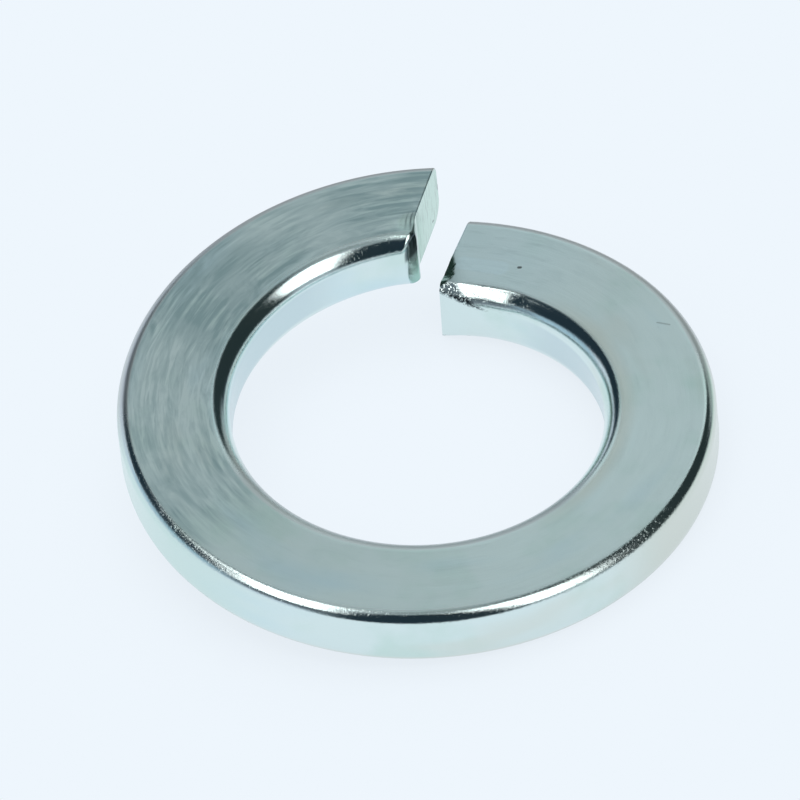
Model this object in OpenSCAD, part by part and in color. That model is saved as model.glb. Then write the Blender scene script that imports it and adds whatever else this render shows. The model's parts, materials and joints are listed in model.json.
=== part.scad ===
// Spring lock washer: one turn of flat wire, wound as a left-hand coil and parted by a slanted slit.
// Millimetres. The axis of the bore is Z, the slit is at +Y, and the lowest edge of the coil is at z = 0.

/* [Wire] */

// Diameter of the bore
bore_d = 12.8; // [10:0.1:20]
// Width of the wire, from the bore to the rim
wire_w = 3.9; // [2.6:0.1:5]
// Height of the wire
wire_t = 2.4; // [2:0.05:4]

/* [Coil] */

// Rise of the coil in one full turn
rise = 2.63; // [1:0.01:5]

/* [Slit] */

// Width of the slit at the middle of the wire, square to its faces
slit_w = 0.9; // [0.4:0.05:2]
// Slant of the slit away from a line through the axis, in degrees
slit_slant = 12.5; // [0:0.5:25]
// Angle between the two cut faces, wider towards the rim, in degrees
slit_flare = 3.2; // [0:0.2:5]

/* [Edges] */

// Rounding of the upper edge round the bore
bore_edge_top_r = 0.7; // [0.3:0.05:0.9]
// Rounding of the lower edge round the bore
bore_edge_foot_r = 0.8; // [0.3:0.05:0.9]
// Rounding of the upper edge round the rim
rim_edge_top_r = 0.45; // [0.3:0.05:0.9]
// Rounding of the lower edge round the rim
rim_edge_foot_r = 0.75; // [0.3:0.05:0.9]

/* [Cut ends] */

// Depth to which the shear has pressed back the bore wall at the low end
press_depth = 0.35; // [0.1:0.05:0.6]
// Length of wire in which the bore wall comes out of that hollow
press_l = 2.4; // [0.6:0.1:3]
// Roll of the upright edge between the bore and the cut face of the high end
roll_r = 0.4; // [0.2:0.05:0.6]

/* [Fineness] */

// Steps along the wire between the pressed and the rolled end
turn_steps = 90; // [60:5:110]
// Steps in a quarter round
arc_steps = 4; // [3:1:5]

/* [Hidden] */

bore_r = bore_d / 2;
rim_r = bore_r + wire_w;
middle_r = bore_r + wire_w / 2;

// The wound wire stands this far past the bore, the rim and both cut faces, which are then cut true.
past = 0.05;
// Reach of the cutting tools above, below and past the coil
clear = 1;

// The two cut faces are upright planes. A plane is told by its slant from +Y, clockwise seen from above,
// and by its distance from the axis, measured the same way round.
low_slant = slit_slant + slit_flare / 2;
high_slant = slit_slant - slit_flare / 2;
half_slit = slit_w / 2 * cos(slit_flare / 2);
low_off = half_slit - middle_r * sin(low_slant);
high_off = -half_slit - middle_r * sin(high_slant);

// Direction, in degrees from +X, in which a circle of radius r meets each cut plane
function low_at(r, extra = 0) = 90 - low_slant - asin((low_off - extra) / r);
function high_at(r, extra = 0) = 90 - high_slant - asin((high_off + extra) / r);

// Angle that the wire runs through at radius r, and its length along its middle
function sweep(r) = 360 - (high_at(r) - low_at(r));
wire_l = middle_r * sweep(middle_r) * PI / 180;

// The flat of the lower face starts here at the low end, and this is where the coil stands on z = 0.
foot_at = low_at(bore_r + bore_edge_foot_r);
function lift(at) = rise * (foot_at - at) / 360;

// Height of the coil as it lies, from its lowest edge to its highest
height = wire_t + lift(high_at(rim_r - rim_edge_top_r) - 360);

// The bore wall stands back at the start of the low end, and cuts into the roundings above and below it.
function pressed_in(d) = (press_depth + past) * pow(max(0, 1 - d / press_l), 2);

// The bore wall and its roundings give way to the roll in the last part of the high end.
function roll_in(d) =
    let (left = roll_r - (wire_l - d))
    left > 0 ? roll_r - sqrt(roll_r * roll_r - left * left) : 0;

// Angle at which a rounding of radius e starts, from a wall that stands a depth back into it
function start_of(e, depth) = 180 - acos(min(1, (e - depth) / e));

// Points on a rounding about [r, z], turning clockwise between two angles, without the two ends
function rounding(r, z, e, from, to) =
    [for (i = [1:arc_steps - 1]) let (a = from + (to - from) * i / arc_steps) [r + e * cos(a), z + e * sin(a)]];

// Section of the wire at a distance d along it, clockwise from the upper end of the bore wall
function section(d) =
    let (side = bore_r + roll_in(d))
    let (depth = pressed_in(d) - past)
    let (top_start = start_of(bore_edge_top_r, depth))
    let (foot_end = -start_of(bore_edge_foot_r, depth))
    concat(
        [[side + depth, wire_t - bore_edge_top_r * (1 - sin(top_start))]],
        rounding(side + bore_edge_top_r, wire_t - bore_edge_top_r, bore_edge_top_r, top_start, 90),
        [[side + bore_edge_top_r, wire_t], [rim_r - rim_edge_top_r, wire_t]],
        rounding(rim_r - rim_edge_top_r, wire_t - rim_edge_top_r, rim_edge_top_r, 90, 0),
        [[rim_r + past, wire_t - rim_edge_top_r], [rim_r + past, rim_edge_foot_r]],
        rounding(rim_r - rim_edge_foot_r, rim_edge_foot_r, rim_edge_foot_r, 0, -90),
        [[rim_r - rim_edge_foot_r, 0], [side + bore_edge_foot_r, 0]],
        rounding(side + bore_edge_foot_r, bore_edge_foot_r, bore_edge_foot_r, -90, foot_end),
        [[side + depth, bore_edge_foot_r * (1 + sin(foot_end))]]
    );

// Steps along the pressed end
press_steps = 2 * arc_steps;

// Distances along the wire at which a section stands, closer together at both worked ends
stations = concat(
    [for (i = [0:press_steps - 1]) press_l * i / press_steps],
    [for (i = [0:turn_steps]) press_l + (wire_l - press_l - roll_r) * i / turn_steps],
    [for (i = [1:arc_steps]) wire_l - roll_r + roll_r * sin(90 * i / arc_steps)]
);

// Direction of the section at a distance d, for its points at radius r: the same part of the way round at
// each radius, and a little into the slit at both ends
function turned_to(r, d) =
    d <= 0 ? low_at(r, past) :
    d >= wire_l ? high_at(r, past) - 360 :
    low_at(r) - sweep(r) * d / wire_l;

// Place of a section's point p on the coil
function placed(p, d) =
    let (at = turned_to(p[0], d))
    [p[0] * cos(at), p[0] * sin(at), p[1] + lift(at)];

// The wound wire with its rounded edges and its two cut faces
module wound_wire() {
    rings = [for (d = stations) [for (p = section(d)) placed(p, d)]];
    count = len(rings);
    around = len(rings[0]);
    last = (count - 1) * around;
    polyhedron(
        points = [for (ring = rings) each ring],
        faces = concat(
            [[for (j = [around - 1:-1:0]) j]],
            [[for (j = [0:around - 1]) last + j]],
            [
                for (i = [0:count - 2], j = [0:around - 1])
                let (next = (j + 1) % around, here = i * around, there = here + around)
                each [[here + j, here + next, there + next], [here + j, there + next, there + j]]
            ]
        )
    );
}

// The slit, cut right through from the axis outwards
module slit() {
    // Point at radius r on a cut plane met in direction at
    function on(r, at) = [r * cos(at), r * sin(at)];
    near = bore_r - clear;
    far = rim_r + clear;
    translate([0, 0, -clear]) linear_extrude(height + 2 * clear)
        polygon([on(near, low_at(near)), on(far, low_at(far)), on(far, high_at(far)), on(near, high_at(near))]);
}

// The ring between the bore and the rim
module ring() {
    translate([0, 0, -clear]) difference() {
        cylinder(r = rim_r, h = height + 2 * clear, $fn = 180);
        translate([0, 0, -clear]) cylinder(r = bore_r, h = height + 4 * clear, $fn = 180);
    }
}

module washer() {
    color("lightsteelblue")
    intersection() {
        ring();
        difference() {
            wound_wire();
            slit();
        }
    }
}

washer();
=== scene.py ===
"""Spring lock washer: the zinc plated coil of flat wire with its sheared ends, and the studio it lies in."""

import json
import math
from types import SimpleNamespace

import bmesh
import bpy
import numpy as np
from bpy.props import FloatProperty, FloatVectorProperty, IntProperty, PointerProperty
from mathutils import Matrix, Vector


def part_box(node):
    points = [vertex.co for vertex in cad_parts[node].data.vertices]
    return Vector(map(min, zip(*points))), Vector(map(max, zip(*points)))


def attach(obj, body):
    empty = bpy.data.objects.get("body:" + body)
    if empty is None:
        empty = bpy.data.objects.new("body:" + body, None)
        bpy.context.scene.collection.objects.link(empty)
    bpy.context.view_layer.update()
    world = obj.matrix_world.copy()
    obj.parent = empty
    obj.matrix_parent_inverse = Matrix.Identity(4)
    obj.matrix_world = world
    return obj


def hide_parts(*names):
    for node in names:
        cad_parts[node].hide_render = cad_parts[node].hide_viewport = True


bl_info = {
    "name": "Spring Lock Washer",
    "version": (1, 0, 0),
    "blender": (4, 5, 0),
    "location": "3D View > Sidebar > Washer",
    "description": "Winds a split spring washer from flat wire, plates it and sets it in a pale studio",
    "category": "Add Mesh",
}

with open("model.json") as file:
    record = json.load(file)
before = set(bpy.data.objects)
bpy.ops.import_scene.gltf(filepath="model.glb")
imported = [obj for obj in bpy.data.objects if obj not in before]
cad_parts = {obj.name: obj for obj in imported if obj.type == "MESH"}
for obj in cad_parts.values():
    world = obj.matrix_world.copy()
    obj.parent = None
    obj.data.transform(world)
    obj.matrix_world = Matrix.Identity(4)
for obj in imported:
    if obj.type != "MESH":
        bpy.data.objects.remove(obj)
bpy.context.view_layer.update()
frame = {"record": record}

NODE = "washer"
BODY = "root"
MM = 0.001
MERGE_DISTANCE = 2e-7

BORE_RADIUS = frame["record"]["mounts"][0]["dims"]["r_mm"] * MM
RIM_RADIUS = float(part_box(NODE)[1][0])


def length(name, description, default):
    """A size in metres, given here in millimetres."""
    return FloatProperty(
        name=name, description=description, default=default * MM, unit="LENGTH", precision=6
    )


def angle(name, description, default):
    """An angle in radians, given here in degrees."""
    return FloatProperty(
        name=name, description=description, default=math.radians(default), subtype="ANGLE"
    )


def share(name, description, default):
    """A plain number from 0 to 1."""
    return FloatProperty(name=name, description=description, default=default, min=0.0, max=1.0)


def colour(name, description, default):
    """A colour in linear light."""
    return FloatVectorProperty(
        name=name, description=description, default=default, size=3, subtype="COLOR", min=0, max=1
    )


class WasherSizes(bpy.types.PropertyGroup):
    """The coil and its sheared ends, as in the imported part."""

    bore_radius: length("Bore radius", "Radius of the bore wall", BORE_RADIUS / MM)
    rim_radius: length("Rim radius", "Radius of the rim wall", RIM_RADIUS / MM)
    wire_height: length("Wire height", "Height of the wire", 2.4)
    rise: length("Rise", "Rise of the coil in one full turn", 2.63)
    slit_width: length("Slit width", "Width of the slit at the middle of the wire", 0.9)
    slit_slant: angle("Slit slant", "Slant of the slit away from a line through the axis", 12.5)
    slit_flare: angle("Slit flare", "Angle between the two cut faces", 3.2)
    bore_edge_top: length("Bore edge, top", "Rounding of the upper edge round the bore", 0.7)
    rim_edge_top: length("Rim edge, top", "Rounding of the upper edge round the rim", 0.45)
    rim_edge_foot: length("Rim edge, foot", "Rounding of the lower edge round the rim", 0.75)
    bore_edge_foot: length("Bore edge, foot", "Rounding of the lower edge round the bore", 0.8)
    press_depth: length(
        "Pressed depth", "Depth to which the bore wall is pressed back at the low end", 0.35
    )
    press_length: length(
        "Pressed length", "Length of wire in which the bore wall comes out of that hollow", 2.4
    )
    edge_break: length("Edge break", "Rounding of the edges of both cut faces", 0.05)
    roll: length("Roll", "Rounding of the high end's cut edge at the upper bore corner", 0.2)
    worked_length: length("Worked length", "Length of wire with closer rings at each end", 1.8)
    worked_rings: IntProperty(name="Worked rings", description="Rings in the worked length", default=64)
    coil_rings: IntProperty(
        name="Coil rings", description="Rings between the worked lengths", default=330
    )
    round_steps: IntProperty(name="Round steps", description="Steps in each rounding", default=11)
    flat_steps: IntProperty(
        name="Flat steps", description="Steps across the upper and the lower face", default=34
    )
    wall_steps: IntProperty(
        name="Wall steps", description="Steps up the bore wall and the rim wall", default=12
    )
    cap_rings: IntProperty(
        name="Cap rings", description="Rings from the edge of a cut face to its middle", default=24
    )


class EndMarks(bpy.types.PropertyGroup):
    """What the shear left on the two ends."""

    lobe_out: length("Lobe", "How far the bore side of the high end is drawn into the slit", 0.21)
    lobe_at: length("Lobe place", "Distance of the lobe's crest from the bore wall", 0.66)
    lobe_end: length("Lobe end", "Distance from the bore wall at which the lobe runs out", 1.42)
    lobe_depth: length("Lobe depth", "Length of wire that is drawn along with the lobe", 0.42)
    dent_at: length("Dent place", "Distance of the dent's middle from the bore wall", 1.05)
    dent_depth: length("Dent", "Depth of the dent pressed in the top behind the lobe", 0.03)
    ridge_depth: length("Ridges", "Height of the fine ridges in the dent", 0.004)
    bevel_from: length(
        "Bevel start", "Distance from the bore wall at which the bevel at the low end starts", 0.72
    )
    bevel_depth: length("Bevel", "Drop of the bevel over its width", 0.07)
    chip_from: length("Chip start", "Distance of the chip in the low end from the bore wall", 0.52)
    chip_to: length("Chip end", "Distance from the bore wall at which the chip runs out", 2.05)
    chip_depth: length("Chip depth", "How far the chip reaches back from the cut", 0.34)


class ZincFinish(bpy.types.PropertyGroup):
    """The bright zinc plating."""

    zinc: colour("Zinc", "Colour of the plating", (0.72, 0.835, 0.825))
    blue_tint: colour("Blue tint", "Cool tint of the passivation", (0.62, 0.79, 0.84))
    green_tint: colour("Green tint", "Green tint of the passivation", (0.62, 0.78, 0.735))
    straw_tint: colour("Straw tint", "Warm tint of the passivation", (0.68, 0.72, 0.66))
    lilac_tint: colour("Lilac tint", "Violet tint of the passivation", (0.61, 0.73, 0.755))
    # Painted light: this colour makes the top face paler at the low end, where it catches more light, and
    # marks a pale patch by the chip
    painted_light_and_pale_patch_tint: colour("Pale tint", "Colour of the palest plating, at the low end", (0.74, 0.89, 0.92))
    # Painted shade: this grey dims what the rougher roundings facing away from the camera reflect
    matt_and_shade_tint: colour(
        "Matt tint",
        "Colour of the matt roundings at the rim's back and the bore's front",
        (0.60, 0.62, 0.62),
    )
    # Painted shade: besides the marks of the rolls, this colour darkens the left half of the top face, where
    # it catches less light
    dull_and_shade_tint: colour("Dull tint", "Colour where the plating is dull", (0.385, 0.52, 0.53))
    cut_tint: colour("Cut tint", "Colour of the plating on the sheared faces", (0.54, 0.72, 0.635))
    bare: colour("Scratch colour", "Colour in pits and scratches", (0.16, 0.19, 0.19))
    # Painted shade: a near-black colour on the hammered patch and on the upper part of the lobe's facet
    painted_shade_tint: colour(
        "Peened tint", "Colour of the hammered patch and the rubbed facet", (0.05, 0.07, 0.08)
    )
    face_roughness: share("Face roughness", "Roughness of the rolled faces", 0.34)
    wall_roughness: share("Wall roughness", "Roughness of the two walls", 0.22)
    edge_roughness: share("Edge roughness", "Roughness of the polished roundings", 0.09)
    brush_depth: length("Brush depth", "Depth of the marks that run along the wire", 0.006)
    grain_depth: length("Grain depth", "Depth of the fine grain of the plating", 0.0016)
    glitter_depth: length(
        "Glitter depth", "Height of the fine bumps that glitter on the roundings", 0.006
    )


class StudioSetting(bpy.types.PropertyGroup):
    """The pale table, the softboxes and the camera."""

    backdrop: colour("Backdrop", "Colour of the table and the background", (0.855, 0.921, 0.982))
    table_tilt_back: angle("Table tilt, back", "How far the table falls away behind the washer", 3.9)
    table_tilt_side: angle("Table tilt, side", "How far the table rises to the right", 2.5)
    lens: FloatProperty(name="Lens", description="Focal length", default=754.0)
    camera_azimuth: angle("Camera azimuth", "Turn of the camera from the front towards +X", 9.22)
    camera_elevation: angle("Camera elevation", "Height of the camera above the coil's plane", 45.53)
    camera_roll: angle("Camera roll", "Roll of the camera", -6.103)
    camera_distance: length("Camera distance", "From the middle of the coil to the camera", 576.8)
    aim_height: length("Aim height", "Height of the point on the axis that the camera faces", 2.54)
    aim_right: length("Aim right", "Shift of the camera to its own right", -0.633)
    aim_up: length("Aim up", "Shift of the camera upwards", 0.863)


# Node trees


class Number:
    """A value in a node tree. Arithmetic on it adds Math nodes."""

    def __init__(self, kit, socket):
        self.kit = kit
        self.socket = socket

    def __add__(self, other):
        return self.kit.math("ADD", self, other)

    def __sub__(self, other):
        return self.kit.math("SUBTRACT", self, other)

    def __rsub__(self, other):
        return self.kit.math("SUBTRACT", other, self)

    def __mul__(self, other):
        return self.kit.math("MULTIPLY", self, other)

    def __truediv__(self, other):
        return self.kit.math("DIVIDE", self, other)

    def __rtruediv__(self, other):
        return self.kit.math("DIVIDE", other, self)

    def __neg__(self):
        return self.kit.math("MULTIPLY", self, -1.0)

    __radd__ = __add__
    __rmul__ = __mul__


class Kit:
    """Adds nodes to one tree."""

    def __init__(self, tree):
        self.tree = tree

    def add(self, kind, settings=None, inputs=None, output=0):
        """Adds a node, with its settings first and then the values or links of its sockets."""
        node = self.tree.nodes.new(kind)
        for name, value in (settings or {}).items():
            setattr(node, name, value)
        for key, value in (inputs or {}).items():
            self.feed(node.inputs[key], value)
        return Number(self, node.outputs[output]) if len(node.outputs) else node

    def feed(self, socket, value):
        if isinstance(value, Number):
            self.tree.links.new(value.socket, socket)
        else:
            socket.default_value = value

    def math(self, operation, *values):
        return self.add("ShaderNodeMath", {"operation": operation}, dict(enumerate(values)))

    def smooth(self, value, start, end):
        """0 before start and 1 past end, eased between. start may be the larger."""
        settings = {"interpolation_type": "SMOOTHSTEP"}
        if not isinstance(start, Number) and not isinstance(end, Number) and start > end:
            return self.add("ShaderNodeMapRange", settings, {0: value, 1: end, 2: start, 3: 1.0, 4: 0.0})
        return self.add("ShaderNodeMapRange", settings, {0: value, 1: start, 2: end, 3: 0.0, 4: 1.0})

    def band(self, value, start, end, soft):
        """1 between start and end, with soft borders."""
        return self.smooth(value, start - soft, start + soft) * self.smooth(value, end + soft, end - soft)

    def pick(self, number, values):
        """The value whose place in the list is number."""
        total = 0.0
        for place, value in enumerate(values):
            total = self.math("COMPARE", number, float(place), 0.5) * value + total
        return total

    def combine(self, x, y, z):
        return self.add("ShaderNodeCombineXYZ", None, {0: x, 1: y, 2: z})

    def split(self, vector):
        node = self.tree.nodes.new("ShaderNodeSeparateXYZ")
        self.feed(node.inputs[0], vector)
        return [Number(self, out) for out in node.outputs]

    def blend(self, factor, first, second):
        """A colour between two colours."""
        return self.add(
            "ShaderNodeMix", {"data_type": "RGBA"}, {0: factor, 6: rgba(first), 7: rgba(second)}, 2
        )

    def noise(self, place, scale, detail=2.0, rough=0.5, distort=0.0):
        """Noise from 0 to 1 about 0.5."""
        return self.add(
            "ShaderNodeTexNoise",
            {"noise_dimensions": "3D"},
            {
                "Vector": place,
                "Scale": scale,
                "Detail": detail,
                "Roughness": rough,
                "Distortion": distort,
            },
        )


def rgba(value):
    """A colour socket wants four numbers; a link stays as it is."""
    return value if isinstance(value, Number) else (*value, 1.0)


# The coil


def slit_planes(sizes):
    """Slant from +Y and distance from the axis of the two cut planes, the low end's first."""
    middle = (sizes.bore_radius + sizes.rim_radius) / 2
    half_flare = sizes.slit_flare / 2
    half_slit = sizes.slit_width / 2 * math.cos(half_flare)
    low_slant = sizes.slit_slant + half_flare
    high_slant = sizes.slit_slant - half_flare
    low = (low_slant, half_slit - middle * math.sin(low_slant))
    high = (high_slant, -half_slit - middle * math.sin(high_slant))
    return low, high


def direction_at(plane, radius):
    """Direction from +X in which a circle meets a cut plane, in radians."""
    slant, off = plane
    return math.pi / 2 - slant - math.asin(off / radius)


def wire_length(sizes):
    middle = (sizes.bore_radius + sizes.rim_radius) / 2
    low, high = slit_planes(sizes)
    return middle * (2 * math.pi - direction_at(high, middle) + direction_at(low, middle))


def coil_inputs(sizes):
    """Names and values of what the coil's node tree takes."""
    low, high = slit_planes(sizes)
    return {
        "Bore radius": sizes.bore_radius,
        "Rim radius": sizes.rim_radius,
        "Wire height": sizes.wire_height,
        "Wire length": wire_length(sizes),
        "Rise": sizes.rise,
        "Foot direction": direction_at(low, sizes.bore_radius + sizes.bore_edge_foot),
        "Low slant": low[0],
        "Low offset": low[1],
        "High slant": high[0],
        "High offset": high[1],
        "Bore edge top": sizes.bore_edge_top,
        "Rim edge top": sizes.rim_edge_top,
        "Rim edge foot": sizes.rim_edge_foot,
        "Bore edge foot": sizes.bore_edge_foot,
        "Pressed depth": sizes.press_depth,
        "Pressed length": sizes.press_length,
        "Edge break": sizes.edge_break,
        "Roll": sizes.roll,
        "Worked length": sizes.worked_length,
        "Worked rings": sizes.worked_rings,
        "Coil rings": sizes.coil_rings,
        "Round steps": sizes.round_steps,
        "Flat steps": sizes.flat_steps,
        "Wall steps": sizes.wall_steps,
    }


def coil_tree(inputs, material):
    """The node tree that bends a grid, rings along the wire by points round its section, into the coil."""
    tree = bpy.data.node_groups.new("Coil of flat wire", "GeometryNodeTree")
    for name, value in inputs.items():
        kind = "NodeSocketInt" if isinstance(value, int) else "NodeSocketFloat"
        tree.interface.new_socket(name, in_out="INPUT", socket_type=kind)
    tree.interface.new_socket("Coil", in_out="OUTPUT", socket_type="NodeSocketGeometry")
    kit = Kit(tree)
    source = tree.nodes.new("NodeGroupInput")
    size = {name: Number(kit, source.outputs[name]) for name in inputs}
    rings, around, ring, point = grid_counts(kit, size)
    along, to_cut = ring_distance(kit, size, ring)
    place, facing = section_point(kit, size, point, along, to_cut)
    grid = kit.add("GeometryNodeMeshGrid", None, {"Vertices X": rings, "Vertices Y": around})
    wound = kit.add(
        "GeometryNodeSetPosition",
        None,
        {"Geometry": grid, "Position": coil_place(kit, size, place, along)},
    )
    marked = kit.add(
        "GeometryNodeStoreNamedAttribute",
        {"data_type": "FLOAT_VECTOR", "domain": "POINT"},
        {"Geometry": wound, "Name": "facing", "Value": facing},
    )
    closed = kit.add(
        "GeometryNodeMergeByDistance", None, {"Geometry": marked, "Distance": MERGE_DISTANCE}
    )
    smooth = kit.add("GeometryNodeSetShadeSmooth", None, {"Geometry": closed})
    real = kit.add("GeometryNodeRealizeInstances", None, {"Geometry": smooth})
    plated = kit.add("GeometryNodeSetMaterial", None, {"Geometry": real, "Material": material})
    kit.add("NodeGroupOutput", None, {"Coil": plated})
    return tree


def grid_counts(kit, size):
    """Rings along the wire, points round it, and which ring and point a grid point is."""
    half = size["Round steps"] * 2 + size["Flat steps"] + size["Wall steps"]
    around = half * 2 + 1
    rings = size["Worked rings"] * 2 + size["Coil rings"] + 1
    index = kit.add("GeometryNodeInputIndex")
    ring = kit.math("FLOOR", (index + 0.5) / around)
    # The last point round the wire is the first again
    point = kit.math("MODULO", index - ring * around, half * 2)
    return rings, around, ring, point


def ring_distance(kit, size, ring):
    """Distance of a ring along the wire, and from the nearer cut. The rings crowd towards both cuts."""
    worked = size["Worked rings"]
    first = kit.math("MINIMUM", ring / worked, 1.0)
    last = kit.math("MAXIMUM", (ring - worked - size["Coil rings"]) / worked, 0.0)
    middle = kit.math("MAXIMUM", kit.math("MINIMUM", (ring - worked) / size["Coil rings"], 1.0), 0.0)
    crowd = size["Worked length"]
    along = (
        crowd * first * first + middle * (size["Wire length"] - crowd * 2)
        + crowd * (1 - (1 - last) * (1 - last))
    )
    return along, kit.math("MINIMUM", along, size["Wire length"] - along)


def section_point(kit, size, point, along, to_cut):
    """Radius and height of a point of the section, clockwise from the bore wall, and where it faces."""
    rounds, flats, walls = size["Round steps"], size["Flat steps"], size["Wall steps"]
    half = rounds * 2 + flats + walls
    second = kit.math("FLOOR", (point + 0.5) / half)
    within = point - second * half
    turned = kit.math("GREATER_THAN", within + 0.5, rounds + flats)
    corner = second * 2 + turned
    step = within - turned * (rounds + flats)
    in_round = kit.math("MINIMUM", step / rounds, 1.0)
    past_round = kit.math("MAXIMUM", step - rounds, 0.0) / (flats + turned * (walls - flats))

    left = kit.math("MAXIMUM", 1 - along / size["Pressed length"], 0.0)
    pressed = size["Pressed depth"] * left * left
    radii = [size[name] for name in ("Bore edge top", "Rim edge top", "Rim edge foot", "Bore edge foot")]
    top, bore, rim = size["Wire height"], size["Bore radius"], size["Rim radius"]
    starts = [math.pi - kit.math("ARCCOSINE", (edge - pressed) / edge) for edge in (radii[0], radii[3])]

    radius = kit.pick(corner, radii)
    centre_r = kit.pick(corner, [bore + radii[0], rim - radii[1], rim - radii[2], bore + radii[3]])
    centre_z = kit.pick(corner, [top - radii[0], top - radii[1], radii[2], radii[3]])
    start = kit.pick(corner, [starts[0], math.pi / 2, 0.0, -math.pi / 2])
    end = kit.pick(corner, [math.pi / 2, 0.0, -math.pi / 2, -starts[1]])
    turn = start + (end - start) * in_round
    arc_r = centre_r + radius * kit.math("COSINE", turn)
    arc_z = centre_z + radius * kit.math("SINE", turn)
    wall_z = top - radii[0] + radii[0] * kit.math("SINE", starts[0])
    next_r = kit.pick(corner, [rim - radii[1], rim, bore + radii[3], bore + pressed])
    next_z = kit.pick(corner, [top, radii[2], 0.0, wall_z])
    point_r = arc_r + (next_r - arc_r) * past_round
    point_z = arc_z + (next_z - arc_z) * past_round

    # The edge of a cut face is broken a little, and rolled over at the upper bore corner of the high end
    rolled = kit.smooth(point_r - bore, radii[0] * 1.6, radii[0] * 0.8)
    rolled = rolled * kit.smooth(point_z, top * 0.35, top * 0.6)
    rolled = rolled * kit.math("GREATER_THAN", along, size["Wire length"] / 2)
    edge = size["Edge break"] + (size["Roll"] - size["Edge break"]) * rolled
    broken = kit.math("MAXIMUM", edge - to_cut, 0.0)
    inset = edge - kit.math("SQRT", edge * edge - broken * broken)
    out_r = kit.math("COSINE", turn)
    out_z = kit.math("SINE", turn)
    on_bore = kit.math("COMPARE", corner, 3.0, 0.5) * kit.math("GREATER_THAN", past_round, 0.01)
    facing = kit.combine(out_r - (out_r + 1) * on_bore, out_z * (1 - on_bore), 0.0)
    return (point_r - inset * out_r, point_z - inset * out_z), facing


def coil_place(kit, size, place, along):
    """Where a point of the section comes to lie when the wire is wound."""
    radius, height = place
    low = math.pi / 2 - size["Low slant"] - kit.math("ARCSINE", size["Low offset"] / radius)
    high = math.pi / 2 - size["High slant"] - kit.math("ARCSINE", size["High offset"] / radius)
    turn = low - (low - high + 2 * math.pi) * (along / size["Wire length"])
    lift = size["Rise"] * (size["Foot direction"] - turn) / (2 * math.pi)
    return kit.combine(radius * kit.math("COSINE", turn), radius * kit.math("SINE", turn), height + lift)


def wind_coil(sizes, material):
    """Runs the node tree and returns the coil as a plain mesh object."""
    inputs = coil_inputs(sizes)
    tree = coil_tree(inputs, material)
    blank = bpy.data.objects.new("coil_blank", bpy.data.meshes.new("coil_blank"))
    bpy.context.scene.collection.objects.link(blank)
    modifier = blank.modifiers.new("Coil", "NODES")
    modifier.node_group = tree
    for item in tree.interface.items_tree:
        if item.in_out == "INPUT":
            modifier[item.identifier] = inputs[item.name]
    graph = bpy.context.evaluated_depsgraph_get()
    mesh = bpy.data.meshes.new_from_object(
        blank.evaluated_get(graph), preserve_all_data_layers=True, depsgraph=graph
    )
    bpy.data.objects.remove(blank)
    mesh.name = "coil_of_wire"
    mesh.materials.clear()
    mesh.materials.append(material)
    mesh.polygons.foreach_set("material_index", [0] * len(mesh.polygons))
    coil = bpy.data.objects.new("coil_of_wire", mesh)
    bpy.context.scene.collection.objects.link(coil)
    if not mesh.vertices:
        raise RuntimeError("The coil's node tree gave no mesh")
    return coil


# The sheared ends


class CutEnd:
    """Coordinates at one end: out of the cut, along it from the bore wall, and up from the wire's foot."""

    def __init__(self, sizes, plane, sign, turns):
        self.sizes = sizes
        slant = plane[0]
        self.normal = np.array([sign * math.cos(slant), -sign * math.sin(slant), 0.0])
        self.tangent = np.array([math.sin(slant), math.cos(slant), 0.0])
        turn = direction_at(plane, sizes.bore_radius)
        self.corner = sizes.bore_radius * np.array([math.cos(turn), math.sin(turn), 0.0])
        low = slit_planes(sizes)[0]
        self.foot = direction_at(low, sizes.bore_radius + sizes.bore_edge_foot)
        self.turns = turns

    def read(self, points):
        flat = points * np.array([1.0, 1.0, 0.0]) - self.corner
        turn = np.arctan2(points[:, 1], points[:, 0]) - self.turns * 2 * math.pi
        lift = self.sizes.rise * (self.foot - turn) / (2 * math.pi)
        return flat @ self.normal, flat @ self.tangent, points[:, 2] - lift


def ease(value, start, end):
    """0 before start and 1 past end, eased between."""
    k = np.clip((value - start) / (end - start), 0.0, 1.0)
    return k * k * (3 - 2 * k)


def hill(value, start, crest, end):
    """0 at start, 1 at the crest and 0 at the end, eased between."""
    return ease(value, start, crest) * (1 - ease(value, crest, end))


def near_cut(points, out, up, sizes, reach):
    """Whether a point belongs to the wire within reach of a cut, and not to the other end."""
    spare = 0.2 * MM
    return (np.abs(out) < reach) & (points[:, 1] > 0) & (up > -spare) & (up < sizes.wire_height + spare)


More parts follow.
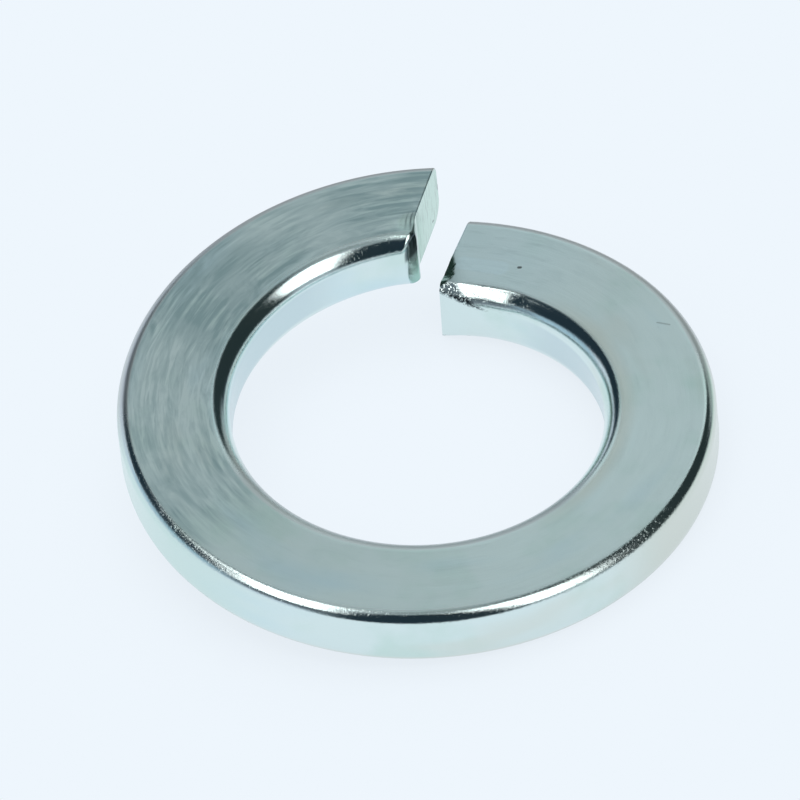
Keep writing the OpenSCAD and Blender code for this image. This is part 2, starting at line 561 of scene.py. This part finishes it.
def draw_lobe(points, sizes, marks):
    """The high end: its bore side is drawn into the slit in a lobe, and the top behind the lobe is dented."""
    end = CutEnd(sizes, slit_planes(sizes)[1], 1.0, 1)
    out, along, up = end.read(points)
    near = near_cut(points, out, up, sizes, 2.5 * MM)
    depth = np.maximum(-out, 0.0)
    height = up / sizes.wire_height
    drawn = np.exp(-((depth / marks.lobe_depth) ** 2)) * near
    # Seen from above: a flat facet from the bore wall to the crest, then an eased run back to the cut
    reach = np.minimum(along / marks.lobe_at, 1.0) * marks.lobe_out
    lobe = reach * (1 - ease(along, marks.lobe_at, marks.lobe_end))
    points += np.outer(lobe * drawn * (1.0 - 0.2 * ease(height, 0.75, 1.0)), end.normal)
    # The dent in the top, with fine ridges that lie along the cut
    behind_cut, half_deep, half_wide = 0.2 * MM, 0.34 * MM, 0.45 * MM
    away = np.hypot((depth - behind_cut) / half_deep, (along - marks.dent_at) / half_wide)
    dent = np.exp(-(away**4)) * ease(height, 0.55, 0.95) * near
    ridge_gap = 0.15 * MM
    ridge = np.sin(depth / ridge_gap * 2 * math.pi + 4 * (along / MM - 1.0) ** 2)
    points[:, 2] -= (marks.dent_depth + marks.ridge_depth * ridge) * dent
    facet = (1 - ease(depth, 0.02 * MM, 0.08 * MM)) * near
    facet = facet * (1 - ease(along, marks.lobe_at, marks.lobe_at * 1.35))
    return ease(dent, 0.1, 0.6), facet, ease(height, 0.57, 0.66)


def press_low_end(points, sizes, marks):
    """The low end: the pressed wall leans, and a chip is broken from the top edge of the cut."""
    end = CutEnd(sizes, slit_planes(sizes)[0], -1.0, 0)
    out, along, up = end.read(points)
    near = near_cut(points, out, up, sizes, 3.5 * MM)
    depth = np.maximum(-out, 0.0)
    height = up / sizes.wire_height
    wall_lean, corner_back, bevel_width = 0.08 * MM, 0.06 * MM, 0.25 * MM
    lean = wall_lean * (1 - ease(depth, 0.0, sizes.press_length)) * near
    lean = lean * (1 - ease(along, 0.3 * MM, 0.9 * MM))
    points += np.outer(lean * (2 * height - 1), end.tangent)
    corner = np.exp(-((depth / (0.12 * MM)) ** 2)) * (1 - ease(along, 0.2 * MM, 0.8 * MM)) * near
    points -= np.outer(corner_back * corner, end.normal)
    # The shear flattened the upper rounding to a bevel
    bevel = np.clip((marks.bevel_from - along) / bevel_width, 0.0, 1.0) * ease(height, 0.5, 0.8)
    points[:, 2] -= marks.bevel_depth * bevel * (1 - ease(depth, 2.3 * MM, 3.4 * MM)) * near
    # The chip: what stands above its slanted floor is broken away
    start, deepest, slope = marks.chip_from - 0.12 * MM, marks.chip_from + 0.55 * MM, 0.36
    run = hill(along, start, deepest, marks.chip_to)
    uneven = 1 + 0.16 * np.sin(along / MM * 21) * np.sin(along / MM * 8.3 + 1)
    reach = marks.chip_depth * np.sqrt(run) * uneven
    floor = sizes.wire_height - (reach - depth) * slope
    broken = near & (along > start) & (along < marks.chip_to) & (up > floor) & (depth < reach)
    points[:, 2] -= np.where(broken, up - floor, 0.0)
    # The hammered patch on the upper rounding, which the material paints near black as shade but for its
    # specks, reaches farther along the wire in its lower part
    radius = sizes.bore_edge_top
    pressed = sizes.press_depth * np.maximum(1 - depth / sizes.press_length, 0.0) ** 2
    wall_top = sizes.wire_height - radius + np.sqrt(radius**2 - (radius - pressed) ** 2)
    peened_and_shaded = 1 - ease(depth - (1 - height) * 5 * MM, 0.5 * MM, 0.7 * MM)
    peened_and_shaded *= (1 - ease(along, 0.7 * MM, 0.85 * MM)) * ease(up, wall_top - 0.16 * MM, wall_top - 0.06 * MM)
    return broken.astype(float), peened_and_shaded * near


def close_cuts(mesh, sizes):
    """Closes both cut faces with rings that run in from the edge, and turns every face outwards."""
    shape = bmesh.new()
    shape.from_mesh(mesh)
    cut = shape.verts.layers.float.new("cut")
    shape.edges.index_update()
    for edges in list(rim_loops(shape)):
        loop = ordered(edges)
        middle = sum((v.co for v in loop), Vector()) / len(loop)
        ring = loop
        for step in range(1, sizes.cap_rings):
            kept = 1 - (step / sizes.cap_rings) ** 1.3
            inner = []
            for old in loop:
                new = shape.verts.new(middle + (old.co - middle) * kept)
                new[cut] = 1.0
                inner.append(new)
            for i, old in enumerate(ring):
                follow = (i + 1) % len(ring)
                shape.faces.new((old, ring[follow], inner[follow], inner[i])).smooth = True
            ring = inner
        centre = shape.verts.new(middle)
        centre[cut] = 1.0
        for i, old in enumerate(ring):
            shape.faces.new((old, ring[(i + 1) % len(ring)], centre)).smooth = True
    bmesh.ops.recalc_face_normals(shape, faces=shape.faces)
    shape.to_mesh(mesh)
    shape.free()


def rim_loops(shape):
    """The open edges, one list for each open end, in the same order each run."""
    left = {edge.index: edge for edge in shape.edges if edge.is_boundary}
    while left:
        group = [left.pop(min(left))]
        for edge in group:
            for vert in edge.verts:
                found = [other.index for other in vert.link_edges if other.index in left]
                group.extend(left.pop(index) for index in found)
        yield group


def ordered(edges):
    """The points of a closed loop of edges, in order."""
    edge = edges[0]
    start, here = edge.verts
    loop = [start]
    while here != start:
        loop.append(here)
        edge = next(e for e in here.link_edges if e in edges and e != edge)
        here = edge.other_vert(here)
    return loop


def work_ends(coil, sizes, marks):
    """Closes the cut faces, then moves the points at both ends to what the shear left."""
    mesh = coil.data
    close_cuts(mesh, sizes)
    points = np.empty(len(mesh.vertices) * 3)
    mesh.vertices.foreach_get("co", points)
    points = points.reshape(-1, 3)
    cut = np.empty(len(points))
    mesh.attributes["cut"].data.foreach_get("value", cut)
    dented, facet, upper = draw_lobe(points, sizes, marks)
    chipped, peened_and_shaded = press_low_end(points, sizes, marks)
    cut = np.maximum(cut * (1 - facet), np.maximum(dented * 0.3, chipped))
    # The upper part of the lobe's facet is painted near black in the material, as shade
    shares = {"cut": cut, "shaded_facet": facet * upper, "peened_and_shaded": peened_and_shaded}
    for name, values in shares.items():
        layer = mesh.attributes.get(name) or mesh.attributes.new(name, "FLOAT", "POINT")
        layer.data.foreach_set("value", values)
    mesh.vertices.foreach_set("co", points.ravel())
    mesh.update()


# The plating

# Zones round the coil, in degrees: 0 at the front, 90 at the left, -90 at the right. With two angles, a zone
# starts between them. With three, it lies between the first two and its borders are as soft as the third
LEFT_HALF = (35.0, 62.0)
LEFT_FRONT = (44.0, 62.0, 8.0)
LOW_END = (-135.0, -165.0)
HIGH_END = (150.0, 166.0)
WORN = (104.0, 132.0, 14.0)
SHINY = (70.0, 104.0, 8.0)
SLANTED = (66.0, 118.0, 10.0)
GREEN_RIM = (20.0, 45.0)
STRAW_RIM = (-38.0, -62.0)
WARM_BORE = (-140.0, -45.0, 15.0)
LILAC_BORE = (158.0, 136.0)
MATT_FRONT = (74.0, 48.0)
MATT_LEFT = (66.0, 90.0)
MATT_RIGHT = (-94.0, -116.0)
SCUFFED_RIGHT = (-66.0, -30.0, 12.0)
SCUFFED_LEFT = (30.0, 62.0, 8.0)

# Small marks, from one place to another, in millimetres
SPECK = ((2.86, 7.65, 2.54), (2.92, 7.65, 2.54))
SCRATCH = ((7.93, 4.76, 2.82), (8.36, 4.65, 2.83))
NICK_ABOVE = ((-0.07, 10.24, 3.95), (-0.07, 10.24, 3.8))
NICK_BELOW = ((-0.25, 9.4, 3.0), (-0.2, 9.5, 2.95))
PALE_PATCH = ((0.9, 7.95, 2.43), (2.2, 7.65, 2.5))


def wire_coordinates(kit):
    """A point's place, radius, turn from the front and height, and its place stretched up the cuts."""
    place = kit.add("ShaderNodeTexCoord", output="Object")
    x, y, z = kit.split(place)
    radius = kit.math("SQRT", x * x + y * y)
    turn = kit.math("ARCTAN2", -x, -y)
    shear = kit.combine(x, y, z * 0.12)
    return place, radius, turn, z, shear


def stroke(kit, place, start, end, width):
    """1 within a width of the line between two points, all in millimetres, with a soft border."""
    start, end = Vector(start) * MM, Vector(end) * MM
    run = end - start
    offset = kit.add("ShaderNodeVectorMath", {"operation": "SUBTRACT"}, {0: place, 1: start})
    span = run / run.length_squared
    share = kit.add("ShaderNodeVectorMath", {"operation": "DOT_PRODUCT"}, {0: offset, 1: span}, "Value")
    share = kit.math("MINIMUM", kit.math("MAXIMUM", share, 0.0), 1.0)
    nearest = kit.add("ShaderNodeVectorMath", {"operation": "SCALE"}, {0: run, "Scale": share})
    gap = kit.add("ShaderNodeVectorMath", {"operation": "DISTANCE"}, {0: offset, 1: nearest}, "Value")
    return kit.smooth(gap, width * 1.3 * MM, width * 0.7 * MM)


def read_surface(kit, sizes):
    """What the plating is made of: places on the coil, shares of its faces and zones, and noises."""
    place, radius, turn, z, shear = wire_coordinates(kit)
    facing = kit.add("ShaderNodeAttribute", {"attribute_name": "facing"}, output="Vector")
    cut = kit.add("ShaderNodeAttribute", {"attribute_name": "cut"}, output="Fac")
    # The upper part of the lobe's facet is painted near black as shade
    shaded_facet = kit.add("ShaderNodeAttribute", {"attribute_name": "shaded_facet"}, output="Fac")
    # The hammered patch has real fine bumps, and painted shade in its colour
    peened_and_shaded = kit.add("ShaderNodeAttribute", {"attribute_name": "peened_and_shaded"}, output="Fac")
    outwards, upwards, _ = kit.split(facing)
    flat = kit.smooth(kit.math("ABSOLUTE", upwards), 0.985, 0.9998) * (1 - cut)
    wall = kit.smooth(kit.math("ABSOLUTE", outwards), 0.95, 0.999) * (1 - cut)
    edge = (1 - flat - wall) * (1 - cut)

    # Marks run along the wire: coordinates are stretched round the axis. A noise is told by its scale, to the
    # metre, then by its detail, its roughness and its distortion
    middle = (sizes.bore_radius + sizes.rim_radius) / 2
    run = turn * middle
    degrees = turn * (180 / math.pi)
    long_marks = kit.noise(kit.combine(radius, run * 0.07, z * 0.5), 5200.0, 3.0, 0.55, 0.3)
    mottle = kit.noise(kit.combine(radius, run * 0.3, z), 2000.0, 3.0, 0.6, 1.0)
    drift = kit.noise(place, 190.0, 2.0)
    strokes = kit.noise(kit.combine(radius + (drift - 0.5) * 0.0006, run * 0.055, z), 9000.0, 2.0, 0.6)
    slants = kit.noise(kit.combine(radius + run * 0.13, run * 0.03, z), 7000.0, 1.0)
    grain = kit.noise(place, 30000.0, 2.0, 0.6)
    sparkle = kit.noise(place, 14000.0, 3.0, 0.7)
    patches = kit.noise(place, 330.0, 3.0, 0.55)
    cool = kit.noise(kit.combine(radius * 2, run * 0.6, z * 2), 260.0, 2.0)
    low_end = kit.smooth(degrees, *LOW_END)
    rim_side = kit.math("GREATER_THAN", outwards, 0.0)
    rim_corners = (kit.band(degrees, *SCUFFED_RIGHT) + kit.band(degrees, *SCUFFED_LEFT)) * rim_side
    # The roundings that face away from the camera: rougher, and painted greyer as shade
    rim_back = (
        rim_side * kit.math("MAXIMUM", kit.smooth(degrees, *MATT_LEFT), kit.smooth(degrees, *MATT_RIGHT))
    )
    bore_front = (1 - rim_side) * kit.smooth(kit.math("ABSOLUTE", degrees), *MATT_FRONT)
    matt_and_shade = (rim_back + bore_front) * edge
    specks = kit.smooth(kit.noise(place, 11000.0, 2.0, 0.7), 0.50, 0.58)
    return SimpleNamespace(
        place=place, shear=shear, outwards=outwards, upwards=upwards, radius=radius,
        degrees=degrees, flat=flat, wall=wall, edge=edge, cut=cut, shaded_facet=shaded_facet, peened_and_shaded=peened_and_shaded,
        long_marks=long_marks, mottle=mottle, strokes=strokes, slants=slants, grain=grain,
        sparkle=sparkle, patches=patches, cool=cool, low_end=low_end, rim_side=rim_side,
        rim_corners=rim_corners, matt_and_shade=matt_and_shade, specks=specks,
    )


def dullness_and_shade(kit, coil):
    """How dull the flat faces are, with painted shade. The left half bears more marks of the rolls, as does
    the low end, and the left half of the top face is also darkened as painted shade, where it catches less
    light.
    """
    left = kit.smooth(coil.degrees, *LEFT_HALF)
    # Painted shade: the left half of the top face is darker, where it catches less light
    dull_and_shade = left * 0.34 + kit.band(coil.degrees, *WORN) * 0.42 + kit.smooth(coil.degrees, *HIGH_END) * 0.22
    presence = 0.25 + kit.smooth(coil.patches, 0.42, 0.6)
    lines = ((coil.long_marks - 0.5) * 3.2 + (coil.strokes - 0.5)) * presence
    lines = lines * (0.05 + left * 0.8 + coil.low_end * 0.12)
    spots = (coil.mottle - 0.5) * (0.36 + left * 1.3 + coil.low_end * 1.1)
    dull_and_shade = dull_and_shade - 0.01 - coil.low_end * 0.04 + lines + spots
    dull_and_shade = dull_and_shade - kit.smooth(coil.slants, 0.66, 0.74) * kit.band(coil.degrees, *SLANTED) * 0.4
    shine = kit.smooth(coil.long_marks, 0.52, 0.64) * kit.band(coil.degrees, *SHINY)
    dull_and_shade = dull_and_shade - shine * 0.5 + kit.band(coil.degrees, *LEFT_FRONT) * 0.2
    return dull_and_shade


def plate_tint(kit, sizes, finish, coil):
    """The colour of the plating, of what shows through it, and of the small marks, with painted light and
    shade in places.
    """
    tint = kit.blend(kit.smooth(coil.patches, 0.45, 0.75), finish.zinc, finish.green_tint)
    tint = kit.blend(kit.smooth(coil.cool, 0.5, 0.8) * 0.8, tint, finish.blue_tint)
    tint = kit.blend(kit.smooth(coil.cool, 0.42, 0.2) * 0.5, tint, finish.straw_tint)
    rim_wall = kit.smooth(coil.outwards, 0.6, 0.95)
    tint = kit.blend(rim_wall * kit.smooth(coil.degrees, *GREEN_RIM) * 0.7, tint, finish.green_tint)
    tint = kit.blend(rim_wall * kit.smooth(coil.degrees, *STRAW_RIM), tint, finish.straw_tint)
    tint = kit.blend(coil.rim_side * kit.smooth(coil.upwards, -0.2, -0.6) * 0.8, tint, finish.straw_tint)
    warm = kit.smooth(coil.radius, sizes.bore_radius + 1.3 * MM, sizes.bore_radius + 0.7 * MM)
    warm = warm * kit.band(coil.degrees, *WARM_BORE) * coil.flat * 0.7
    tint = kit.blend(warm, tint, finish.straw_tint)
    bore_wall = coil.wall * (1 - coil.rim_side)
    tint = kit.blend(
        bore_wall * kit.smooth(kit.math("ABSOLUTE", coil.degrees), *LILAC_BORE), tint, finish.lilac_tint
    )
    # Painted light: the top face is paler at the low end, where it catches more light; the stroke adds a pale
    # patch by the chip
    pale = coil.low_end * 0.55 + stroke(kit, coil.place, *PALE_PATCH, 0.3) * 0.6
    tint = kit.blend(pale * coil.flat, tint, finish.painted_light_and_pale_patch_tint)
    # The dull colour holds the marks of the rolls and the painted shade on the left half of the top face
    tint = kit.blend(dullness_and_shade(kit, coil) * coil.flat, tint, finish.dull_and_shade_tint)
    # Painted shade: the roundings facing away from the camera are greyer, which dims their reflection
    tint = kit.blend(coil.matt_and_shade * 0.8, tint, finish.matt_and_shade_tint)
    pits = kit.smooth(coil.sparkle, 0.71, 0.77) * (coil.flat + coil.wall)
    tint = kit.blend(pits * 0.45, tint, finish.bare)
    tint = kit.blend(coil.cut, tint, finish.cut_tint)
    tears = kit.smooth(kit.noise(coil.shear, 9000.0, 2.0, 0.6), 0.48, 0.72)
    tint = kit.blend(tears * coil.cut * 0.3, tint, finish.bare)
    # Painted shade: the upper part of the lobe's facet is near black
    tint = kit.blend(coil.shaded_facet * (0.86 + tears * 0.4), tint, finish.painted_shade_tint)
    # Painted shade: the hammered patch is near black but for its specks
    tint = kit.blend(coil.peened_and_shaded * coil.edge * (1 - coil.specks), tint, finish.painted_shade_tint)
    speck = stroke(kit, coil.place, *SPECK, 0.055)
    scratch = stroke(kit, coil.place, *SCRATCH, 0.035)
    nick_above = stroke(kit, coil.place, *NICK_ABOVE, 0.06)
    nick_below = stroke(kit, coil.place, *NICK_BELOW, 0.05)
    small_marks = kit.math(
        "MAXIMUM", speck, kit.math("MAXIMUM", scratch * 0.4, (nick_above + nick_below) * 0.8)
    )
    tint = kit.blend(small_marks, tint, finish.bare)
    return tint


def plate_roughness(kit, finish, coil):
    """Streaked on the faces, smooth on the walls and polished on the roundings, but for the matt ones."""
    streak = (coil.long_marks - 0.5) * 0.16 + (coil.strokes - 0.5) * 0.10
    rough = (
        coil.flat * finish.face_roughness + coil.wall * finish.wall_roughness
        + coil.edge * finish.edge_roughness + coil.cut * 0.16
    )
    rough = rough + coil.matt_and_shade * 0.24 + coil.rim_corners * coil.edge * 0.09
    rough = kit.math("MAXIMUM", rough + streak * coil.flat + (coil.patches - 0.5) * 0.05, 0.04)
    return rough


def plate_relief(kit, finish, coil):
    """Height of the marks along the wire, the grain, and the fine bumps that glitter on the roundings."""
    fade = 0.35 + 0.65 * kit.smooth(kit.noise(coil.place, 120.0, 1.0), 0.42, 0.62)
    relief = (coil.long_marks * 0.7 + coil.strokes * 0.3) * finish.brush_depth * fade
    relief = relief * (coil.flat + coil.wall * 0.3 + coil.edge * 0.15)
    relief = (
        relief + coil.grain * finish.grain_depth
        + coil.sparkle * (finish.grain_depth * 2.2) * (coil.edge * 0.9 + coil.flat * 0.1)
    )
    # Fine bumps glitter on the roundings next to the slit and on the rim at the right
    zone = kit.smooth(coil.degrees, -146.0, -156.0) * 0.5 + kit.smooth(coil.degrees, 140.0, 150.0) * 0.2
    zone = (
        zone + kit.band(coil.degrees, -80.0, 80.0, 10.0) * coil.rim_side * 0.25 + coil.rim_corners * 0.4
    )
    glitter = kit.smooth(kit.noise(coil.place, 11000.0, 2.0, 0.6), 0.58, 0.72) * zone * coil.edge
    scuffed = coil.sparkle * coil.rim_corners * coil.edge * 0.4
    relief = relief + (glitter + scuffed + coil.specks * coil.peened_and_shaded * coil.edge) * finish.glitter_depth
    return relief


def plating(sizes, finish):
    """Bright zinc over rolled wire: brushed along the wire, lightly tinted, polished on the roundings."""
    material = bpy.data.materials.new("bright_zinc_plate")
    material.use_nodes = True
    tree = material.node_tree
    tree.nodes.clear()
    kit = Kit(tree)
    coil = read_surface(kit, sizes)
    height = plate_relief(kit, finish, coil)
    normal = kit.add("ShaderNodeBump", None, {"Strength": 1.0, "Distance": 1.0, "Height": height})
    metal = kit.add(
        "ShaderNodeBsdfPrincipled",
        None,
        {
            "Base Color": plate_tint(kit, sizes, finish, coil),
            "Metallic": 1.0,
            "Roughness": plate_roughness(kit, finish, coil),
            "Normal": normal,
        },
    )
    kit.add("ShaderNodeOutputMaterial", None, {"Surface": metal})
    return material


# The studio

# Corners of the softboxes, as azimuth and elevation
RIGHT_BOX = [(41, 18), (41, 58), (52, 77), (112, 77), (102, 66), (69, 20)]
LEFT_BOX = [(-30, 39), (-30, 52), (-60, 76), (-140, 73), (-78, 56), (-60, 36)]
OVER_BOX = [(-74, 65), (-60, 78), (-146, 76), (-136, 59)]
REAR_BOX = [(-178, 58), (-178, 74), (-150, 74), (-160, 58)]
REAR_SHARE = 0.14
BOX_STRENGTH = 1.4

# Colours that the metal sees
WALL_LOW = (0.42, 0.47, 0.51)
WALL_HIGH = (0.32, 0.36, 0.38)
WALL_RIGHT = (0.38, 0.42, 0.42)
HAZE = (0.70, 0.76, 0.86)
BLUE_HAZE = (0.42, 0.57, 0.69)
BLACK_LEFT = (0.018, 0.032, 0.045)
BLACK_RIGHT = (0.024, 0.035, 0.037)
PANEL_DIM = (0.084, 0.10, 0.107)
PANEL_LIT = (0.86, 0.97, 1.0)
TABLE_RIGHT = (0.66, 0.76, 0.72)
TABLE_BACK = (0.40, 0.40, 0.42)

# Brightness of the table in the painted shadow under the coil
SHADOW = 0.91


def heading(azimuth, elevation):
    """The direction at an azimuth from the front towards +X and an elevation, in degrees."""
    a, e = math.radians(azimuth), math.radians(elevation)
    return Vector((math.sin(a) * math.cos(e), -math.cos(a) * math.cos(e), math.sin(e)))


def softbox(kit, view, corners, soft=0.02):
    """1 where a direction falls in the window whose corners are given as azimuth and elevation."""
    corners = [heading(*corner) for corner in corners]
    middle = sum(corners, Vector())
    inside = None
    for i, here in enumerate(corners):
        normal = here.cross(corners[(i + 1) % len(corners)]).normalized()
        normal *= math.copysign(1.0, normal.dot(middle))
        reach = kit.add(
            "ShaderNodeVectorMath", {"operation": "DOT_PRODUCT"}, {0: view, 1: normal}, "Value"
        )
        inside = reach if inside is None else kit.math("MINIMUM", inside, reach)
    return kit.smooth(inside, -soft, soft)


def dark_zones(kit, azimuth, elevation):
    """Where the studio is black: in front, on both sides, and under the softbox at the left."""
    front = kit.band(azimuth, -26.0, 41.0, 5.0) * kit.smooth(elevation, 2.0, 10.0)
    front = front * kit.smooth(elevation, 84.0, 76.0)
    reach = kit.smooth(elevation, 14.0, 28.0) * 24 + 138
    right_side = kit.smooth(azimuth, 64.0, 72.0) * kit.smooth(reach - azimuth, -4.0, 4.0)
    right_side = right_side * kit.smooth(elevation, 0.0, 8.0) * kit.smooth(elevation, 76.0, 70.0)
    low = 27.0 - kit.smooth(azimuth, -127.0, -135.0) * 10
    left_side = kit.band(azimuth, -160.0, -69.0, 3.0) * kit.smooth(elevation - low, -3.0, 3.0)
    left_side = left_side * kit.smooth(elevation, 64.0, 58.0)
    sill = kit.band(azimuth, -66.0, -26.0, 4.0) * kit.band(elevation, 14.0, 42.0, 3.0) * 0.75
    return kit.math(
        "MAXIMUM", kit.math("MAXIMUM", front, sill), kit.math("MAXIMUM", right_side, left_side)
    )


def light_boxes(kit, view):
    """Where the softboxes are."""
    right = softbox(kit, view, RIGHT_BOX)
    left = softbox(kit, view, LEFT_BOX)
    over = softbox(kit, view, OVER_BOX)
    rear = softbox(kit, view, REAR_BOX)
    return kit.math(
        "MAXIMUM", kit.math("MAXIMUM", right, left), kit.math("MAXIMUM", over, rear * REAR_SHARE)
    )


def paint_studio(setting):
    """The world: plain backdrop to the camera, and a pale table, grey walls and softboxes to the metal."""
    world = bpy.data.worlds.new("studio")
    bpy.context.scene.world = world
    world.use_nodes = True
    world.node_tree.nodes.clear()
    kit = Kit(world.node_tree)
    view = kit.add("ShaderNodeTexCoord", output="Generated")
    x, y, z = kit.split(view)
    azimuth = kit.math("ARCTAN2", x, -y) * (180 / math.pi)
    elevation = kit.math("ARCSINE", z) * (180 / math.pi)

    turn = azimuth + kit.math("LESS_THAN", azimuth, 0.0) * 360
    high = kit.smooth(z, 0.0, 0.9)
    walls = kit.blend(high, WALL_LOW, WALL_HIGH)
    haze = kit.band(azimuth, -152.0, -34.0, 8.0) * kit.smooth(elevation, 33.0, 24.0)
    walls = kit.blend(haze, walls, HAZE)
    blue = haze * kit.band(azimuth, -112.0, -62.0, 6.0) * kit.smooth(elevation, 6.0, 14.0)
    walls = kit.blend(blue, walls, BLUE_HAZE)
    walls = kit.blend(kit.smooth(azimuth, 132.0, 146.0), walls, WALL_RIGHT)
    dark = dark_zones(kit, azimuth, elevation)
    black = kit.blend(kit.smooth(azimuth, 0.0, 60.0), BLACK_LEFT, BLACK_RIGHT)
    walls = kit.blend(dark, walls, black)
    # The flat faces show a panel behind the washer, brighter towards its foot and to the right
    lit = (1.31 - z * 1.14 + x * 0.42) / 0.85
    panel = kit.blend(lit, PANEL_DIM, PANEL_LIT)
    walls = kit.blend(kit.band(turn, 163.0, 205.0, 3.0) * kit.smooth(elevation, 16.0, 28.0), walls, panel)
    boxes = light_boxes(kit, view)
    walls = kit.blend(boxes, walls, (1.0, 1.0, 1.0))
    table = kit.blend(kit.smooth(azimuth, 60.0, 130.0), setting.backdrop, TABLE_RIGHT)
    table = kit.blend(kit.band(turn, 158.0, 212.0, 6.0), table, TABLE_BACK)
    room = kit.blend(kit.smooth(elevation, -1.0, 1.5), table, walls)
    strength = 1.0 + boxes * BOX_STRENGTH
    studio = kit.add("ShaderNodeBackground", None, {"Color": room, "Strength": strength})
    plain = kit.add("ShaderNodeBackground", None, {"Color": (*setting.backdrop, 1.0), "Strength": 1.0})
    seen = kit.add("ShaderNodeLightPath", output="Is Camera Ray")
    mixed = kit.add("ShaderNodeMixShader", None, {0: seen, 1: studio, 2: plain})
    kit.add("ShaderNodeOutputWorld", None, {"Surface": mixed})


def lay_table(setting):
    """A pale table, lower behind the washer and higher to its right, with a soft painted shadow under the
    coil.
    """
    reach = 22 * MM
    shape = bmesh.new()
    bmesh.ops.create_circle(shape, cap_ends=True, segments=96, radius=reach)
    mesh = bpy.data.meshes.new("table")
    shape.to_mesh(mesh)
    shape.free()
    table = bpy.data.objects.new("table", mesh)
    bpy.context.scene.collection.objects.link(table)
    back = Matrix.Rotation(-setting.table_tilt_back, 4, "X")
    tilt = back @ Matrix.Rotation(-setting.table_tilt_side, 4, "Y")
    touch = Vector((0.9 * MM, 8.3 * MM, 0.0))
    normal = (tilt @ Vector((0, 0, 1))).normalized()
    table.matrix_world = Matrix.Translation(normal * normal.dot(touch)) @ tilt
    material = bpy.data.materials.new("pale_table")
    material.use_nodes = True
    material.node_tree.nodes.clear()
    kit = Kit(material.node_tree)
    # The table glows in the backdrop's colour and takes no cast shadow: the shadow under the coil is painted
    # in, darker where ambient occlusion finds the coil near
    open_sky = kit.add("ShaderNodeAmbientOcclusion", {"samples": 4}, {"Distance": 4 * MM}, "AO")
    shade = [part * SHADOW for part in setting.backdrop]
    paper_with_painted_shadow = kit.blend(kit.smooth(open_sky, 0.2, 0.9), shade, setting.backdrop)
    glow = kit.add("ShaderNodeEmission", None, {"Color": paper_with_painted_shadow, "Strength": 1.0})
    kit.add("ShaderNodeOutputMaterial", None, {"Surface": glow})
    mesh.materials.append(material)


def set_camera(setting):
    """A long lens at the photograph's angle."""
    azimuth, elevation, roll = setting.camera_azimuth, setting.camera_elevation, setting.camera_roll
    back = heading(math.degrees(azimuth), math.degrees(elevation))
    level = Vector((math.cos(azimuth), math.sin(azimuth), 0.0))
    upright = back.cross(level)
    right = level * math.cos(roll) + upright * math.sin(roll)
    up = upright * math.cos(roll) - level * math.sin(roll)
    data = bpy.data.cameras.new("camera")
    data.lens = setting.lens
    data.clip_start = 0.05
    data.clip_end = 5.0
    camera = bpy.data.objects.new("camera", data)
    bpy.context.scene.collection.objects.link(camera)
    aim = Vector((0.0, 0.0, setting.aim_height))
    place = aim + back * setting.camera_distance + right * setting.aim_right + up * setting.aim_up
    turned = Matrix((right, up, back)).transposed().to_4x4()
    camera.matrix_world = Matrix.Translation(place) @ turned
    bpy.context.scene.camera = camera


# The add-on


class WASHER_OT_make_coil(bpy.types.Operator):
    """Wind the washer from flat wire, work its sheared ends and plate it"""

    bl_idname = "washer.make_coil"
    bl_label = "Make Coil"

    def execute(self, context):
        scene = context.scene
        material = plating(scene.washer_sizes, scene.washer_finish)
        coil = wind_coil(scene.washer_sizes, material)
        work_ends(coil, scene.washer_sizes, scene.washer_marks)
        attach(coil, BODY)
        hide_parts(NODE)
        return {"FINISHED"}


class WASHER_OT_set_stage(bpy.types.Operator):
    """Lay the pale table, paint the studio's light and set the camera"""

    bl_idname = "washer.set_stage"
    bl_label = "Set Stage"

    def execute(self, context):
        scene = context.scene
        scene.view_settings.view_transform = "Standard"
        paint_studio(scene.washer_studio)
        lay_table(scene.washer_studio)
        set_camera(scene.washer_studio)
        return {"FINISHED"}


class WASHER_PT_panel(bpy.types.Panel):
    """Washer"""

    bl_idname = "WASHER_PT_panel"
    bl_label = "Spring Lock Washer"
    bl_space_type = "VIEW_3D"
    bl_region_type = "UI"
    bl_category = "Washer"

    def draw(self, context):
        self.layout.operator(WASHER_OT_make_coil.bl_idname)
        self.layout.operator(WASHER_OT_set_stage.bl_idname)


CLASSES = (
    WasherSizes,
    EndMarks,
    ZincFinish,
    StudioSetting,
    WASHER_OT_make_coil,
    WASHER_OT_set_stage,
    WASHER_PT_panel,
)
SETTINGS = {
    "washer_sizes": WasherSizes,
    "washer_marks": EndMarks,
    "washer_finish": ZincFinish,
    "washer_studio": StudioSetting,
}


def register():
    for cls in CLASSES:
        bpy.utils.register_class(cls)
    for name, group in SETTINGS.items():
        setattr(bpy.types.Scene, name, PointerProperty(type=group))


def unregister():
    for name in SETTINGS:
        delattr(bpy.types.Scene, name)
    for cls in reversed(CLASSES):
        bpy.utils.unregister_class(cls)


def main():
    register()
    bpy.ops.washer.make_coil()
    bpy.ops.washer.set_stage()


if __name__ == "__main__":
    main()
